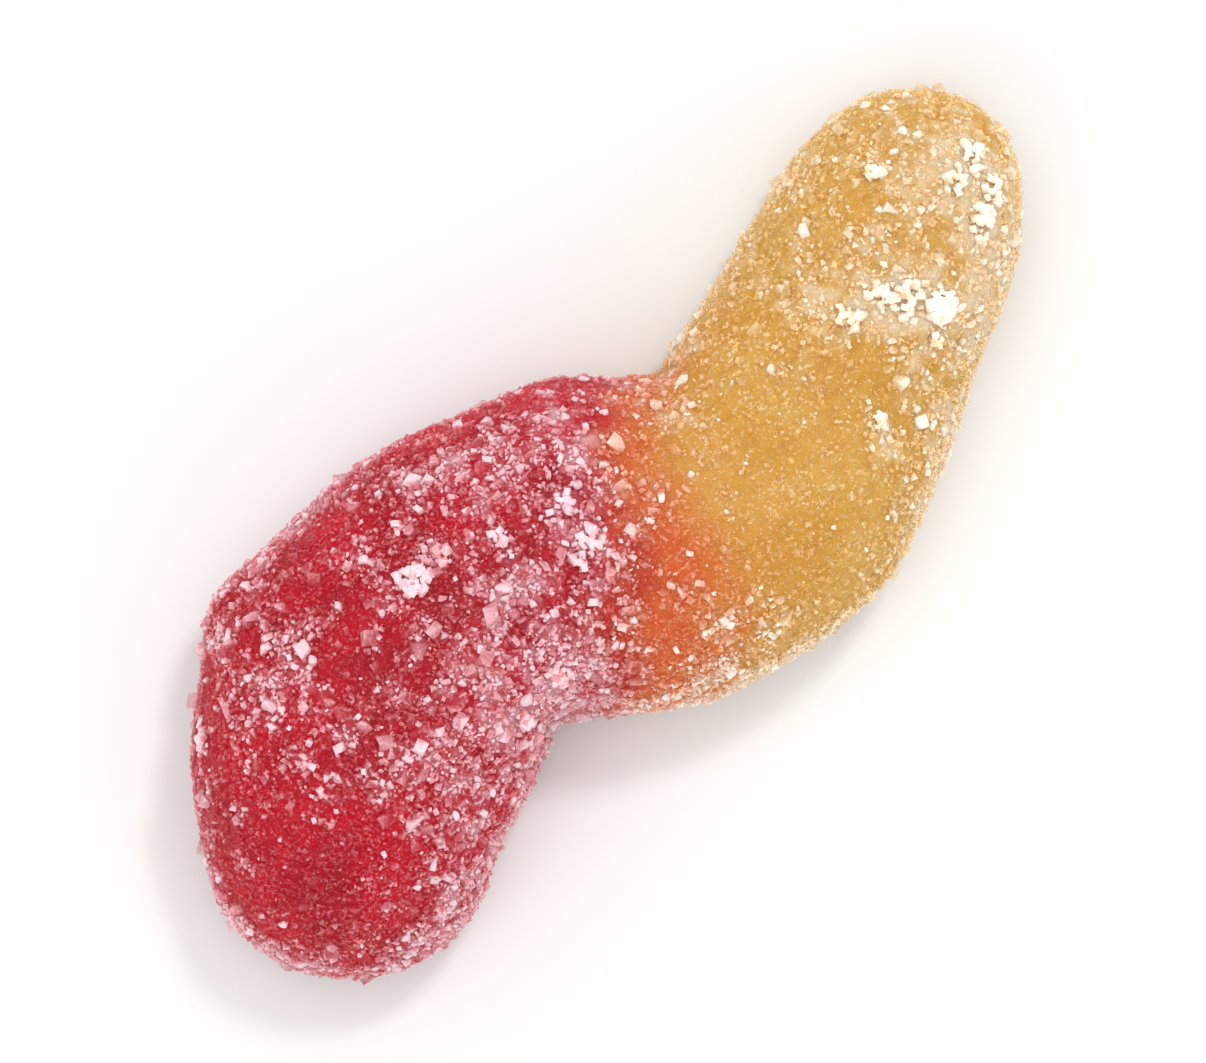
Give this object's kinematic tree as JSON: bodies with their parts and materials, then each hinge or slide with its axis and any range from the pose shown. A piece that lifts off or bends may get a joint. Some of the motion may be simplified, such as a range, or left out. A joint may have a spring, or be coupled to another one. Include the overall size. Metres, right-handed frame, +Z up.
{
  "type": "sour gummy worm",
  "caption": "Short two-colour gummy worm sweet, red and yellow, lying in a soft S on its flat side, coated all over in coarse sugar.",
  "frame": {"origin": "centre of the bounding box at its lowest level: the middle of the worm, on the table it lies on", "axes": "+X from the red tip to the yellow tip, +Z up out of the domed side, the flat side on Z = 0"},
  "size_m": [0.0483, 0.024, 0.0117],
  "materials": {
    "gummy": "soft translucent gelatine, crimson at one end and golden yellow at the other, frosted with sugar",
    "sugar": "clear to white sugar crystals with bright facets"
  },
  "bodies": {
    "root": {"gummy_worm": "gummy"}
  },
  "joints": []
}
